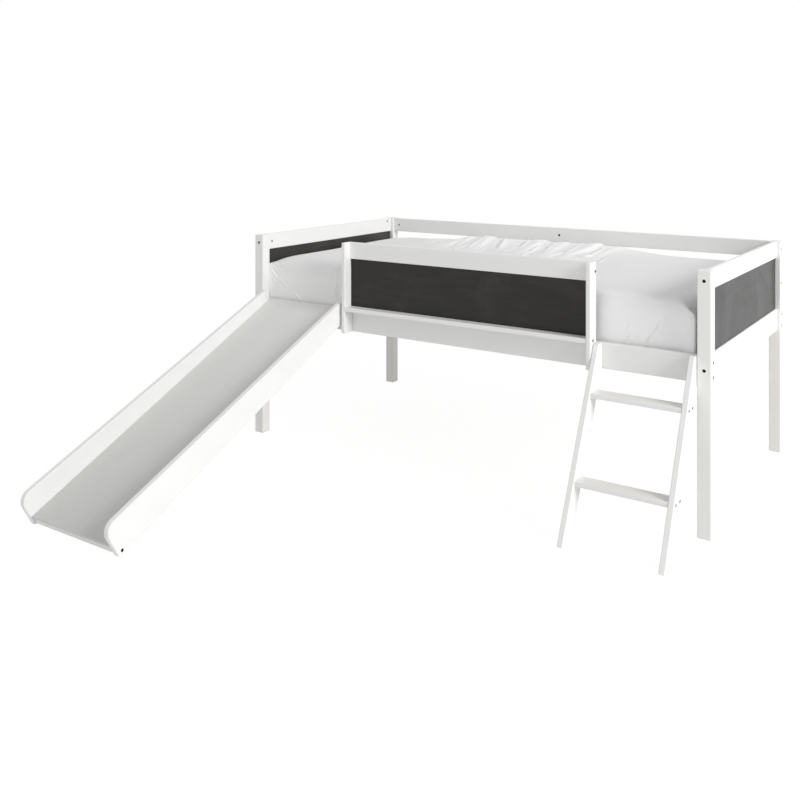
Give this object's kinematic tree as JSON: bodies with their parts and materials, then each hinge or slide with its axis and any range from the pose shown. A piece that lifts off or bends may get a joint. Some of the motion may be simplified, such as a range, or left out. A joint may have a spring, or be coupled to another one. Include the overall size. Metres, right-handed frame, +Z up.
{
  "type": "loft bed",
  "caption": "Low wooden loft bed with a slide and a leaning ladder on its front side, chalkboard panels in the guard and the ends, and a mattress on slats.",
  "frame": {"origin": "on the floor, at the centre of the footprint of the bed with its slide", "axes": "+X along the bed, from the slide's end to the ladder's; +Y from the slide's foot across the bed to its back; +Z up"},
  "size_m": [2.052, 2.3176, 0.9],
  "materials": {
    "white_paint": "satin",
    "chalkboard": "matte",
    "slide_panel": "satin",
    "bare_pine": "matte",
    "sheet": "matte",
    "black_steel": "satin"
  },
  "bodies": {
    "frame": {"post_front_left": "white_paint", "post_front_right": "white_paint", "post_back_left": "white_paint", "post_back_right": "white_paint", "side_rail_front": "white_paint", "side_rail_back": "white_paint", "back_guard_rail_upper": "white_paint", "back_guard_rail_lower": "white_paint", "back_guard_stile": "white_paint", "guard_stile_left": "white_paint", "guard_stile_right": "white_paint", "guard_top_rail": "white_paint", "guard_ledge": "white_paint", "end_left_top_rail": "white_paint", "end_left_bottom_rail": "white_paint", "end_right_top_rail": "white_paint", "end_right_bottom_rail": "white_paint", "ladder_stile_left": "white_paint", "ladder_stile_right": "white_paint", "ladder_tread_lower": "white_paint", "ladder_tread_upper": "white_paint", "slide_side_left": "white_paint", "slide_side_right": "white_paint", "slide_crossbar_1": "white_paint", "slide_crossbar_2": "white_paint", "slide_crossbar_3": "white_paint", "slide_crossbar_4": "white_paint", "guard_chalkboard": "chalkboard", "end_left_chalkboard": "chalkboard", "end_right_chalkboard": "chalkboard", "slide_bed": "slide_panel", "slat_cleat_front": "bare_pine", "slat_cleat_back": "bare_pine", "slat_roll": "bare_pine", "end_rail_bolt_1": "black_steel", "end_rail_bolt_2": "black_steel", "end_rail_bolt_3": "black_steel", "end_rail_bolt_4": "black_steel", "end_rail_bolt_5": "black_steel", "end_rail_bolt_6": "black_steel", "end_rail_bolt_7": "black_steel", "end_rail_bolt_8": "black_steel", "side_rail_bolt_1": "black_steel", "side_rail_bolt_2": "black_steel", "side_rail_bolt_3": "black_steel", "side_rail_bolt_4": "black_steel", "side_rail_bolt_5": "black_steel", "side_rail_bolt_6": "black_steel", "side_rail_bolt_7": "black_steel", "side_rail_bolt_8": "black_steel", "back_guard_bolt_1": "black_steel", "back_guard_bolt_2": "black_steel", "back_guard_bolt_3": "black_steel", "back_guard_bolt_4": "black_steel", "guard_bolt_1": "black_steel", "guard_bolt_2": "black_steel", "guard_bolt_3": "black_steel", "guard_bolt_4": "black_steel"},
    "mattress": {"mattress": "sheet"}
  },
  "joints": [
    {"name": "mattress_lift", "type": "slide", "parent": "frame", "child": "mattress", "axis": [0, 0, 1], "range_m": [0, 0.4]}
  ]
}
